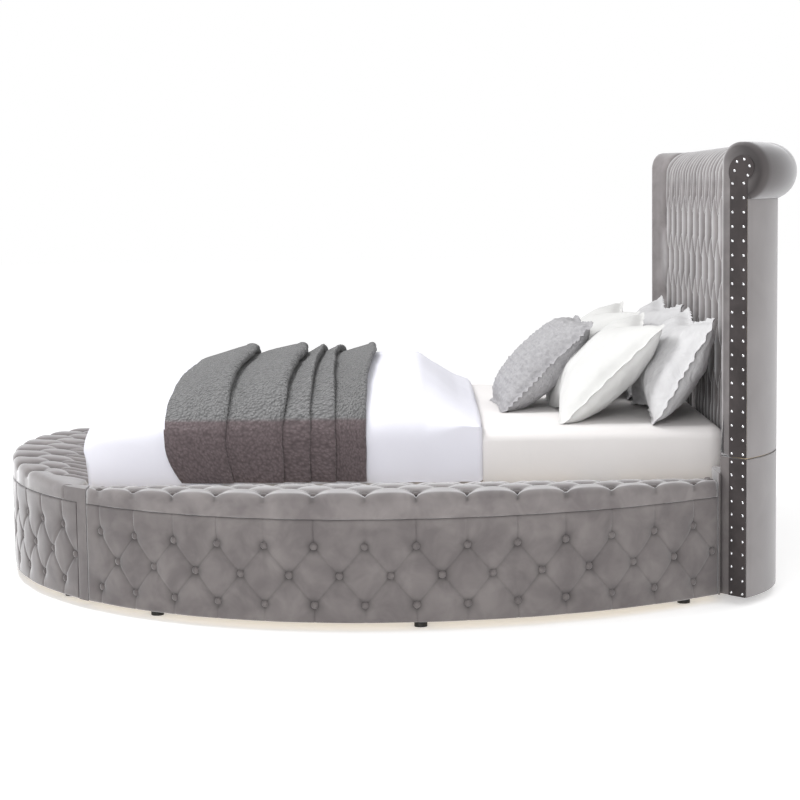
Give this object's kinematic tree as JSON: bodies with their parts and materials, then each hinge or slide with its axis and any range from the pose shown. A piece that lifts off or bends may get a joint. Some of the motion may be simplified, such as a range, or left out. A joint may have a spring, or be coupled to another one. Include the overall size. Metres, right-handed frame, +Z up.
{
  "type": "round storage bed",
  "caption": "Round bed with tufted curved storage benches under padded lids, a tall tufted headboard with a rolled top, a mattress and bedding.",
  "frame": {"origin": "on the floor under the middle centre leg, at the centre of the round base", "axes": "+Z up, +Y towards the headboard, +X to the right seen from the foot"},
  "size_m": [2.6392, 2.665, 1.438],
  "materials": {
    "velvet": "grey-brown velvet",
    "velvet_buttons": "velvet-covered buttons",
    "strip_velvet": "dark brown-grey velvet strip",
    "back_velvet": "plain light velvet",
    "plywood": "plain birch plywood",
    "pine": "planed pine",
    "feet": "black moulded plastic",
    "steel": "zinc-plated steel",
    "nails": "polished nailheads",
    "ticking": "white cotton sheet",
    "duvet": "white cotton duvet",
    "throw": "dark grey quilted throw",
    "grey_linen": "light grey pillow cotton",
    "white_cotton": "white pillow cotton"
  },
  "bodies": {
    "bed": {"bench_pad_right": "velvet", "bench_pad_left": "velvet", "bench_pad_foot": "velvet", "bench_buttons_right": "velvet_buttons", "bench_buttons_left": "velvet_buttons", "bench_buttons_foot": "velvet_buttons", "bench_wall_right": "plywood", "bench_wall_left": "plywood", "bench_wall_foot": "plywood", "bench_floor_right": "plywood", "bench_floor_left": "plywood", "bench_floor_foot": "plywood", "bench_rail_right": "pine", "bench_rail_left": "pine", "bench_rail_foot": "pine", "bench_feet_right": "feet", "bench_feet_left": "feet", "bench_feet_foot": "feet", "bench_ends_right": "plywood", "bench_ends_left": "plywood", "end_posts": "velvet", "hinge_leaf_right": "steel", "hinge_leaf_left": "steel", "hinge_leaf_foot": "steel", "slat_ledgers": "pine", "slats": "pine", "centre_rail": "pine", "centre_legs": "feet", "headboard_lower": "pine", "headboard_upper": "pine", "headboard_back": "back_velvet", "headboard_pad": "velvet", "headboard_buttons": "velvet_buttons", "headboard_scroll": "velvet", "joint_dowels": "pine", "nail_strips": "strip_velvet", "nailheads": "nails", "rail_brackets": "steel", "headboard_glides": "feet", "mattress": "ticking", "duvet": "duvet", "throw": "throw", "pillow_ruffled": "grey_linen", "pillow_white": "white_cotton", "pillow_far": "white_cotton", "sham_near": "white_cotton", "sham_far": "white_cotton"},
    "lid_right": {"lid_pad_right": "velvet", "lid_board_right": "plywood", "lid_buttons_right": "velvet_buttons", "lid_hinge_right": "steel"},
    "lid_left": {"lid_pad_left": "velvet", "lid_board_left": "plywood", "lid_buttons_left": "velvet_buttons", "lid_hinge_left": "steel"},
    "lid_foot": {"lid_pad_foot": "velvet", "lid_board_foot": "plywood", "lid_buttons_foot": "velvet_buttons", "lid_hinge_foot": "steel"}
  },
  "joints": [
    {"name": "right_lid_hinge", "type": "hinge", "parent": "bed", "child": "lid_right", "pos_m": [0.812, 0.0675, 0.3558], "axis": [0, -1, 0], "range_deg": [0, 65]},
    {"name": "left_lid_hinge", "type": "hinge", "parent": "bed", "child": "lid_left", "pos_m": [-0.812, 0.0675, 0.3558], "axis": [0, 1, 0], "range_deg": [0, 65]},
    {"name": "foot_lid_hinge", "type": "hinge", "parent": "bed", "child": "lid_foot", "pos_m": [0, -0.96, 0.3558], "axis": [-1, 0, 0], "range_deg": [0, 65]}
  ]
}
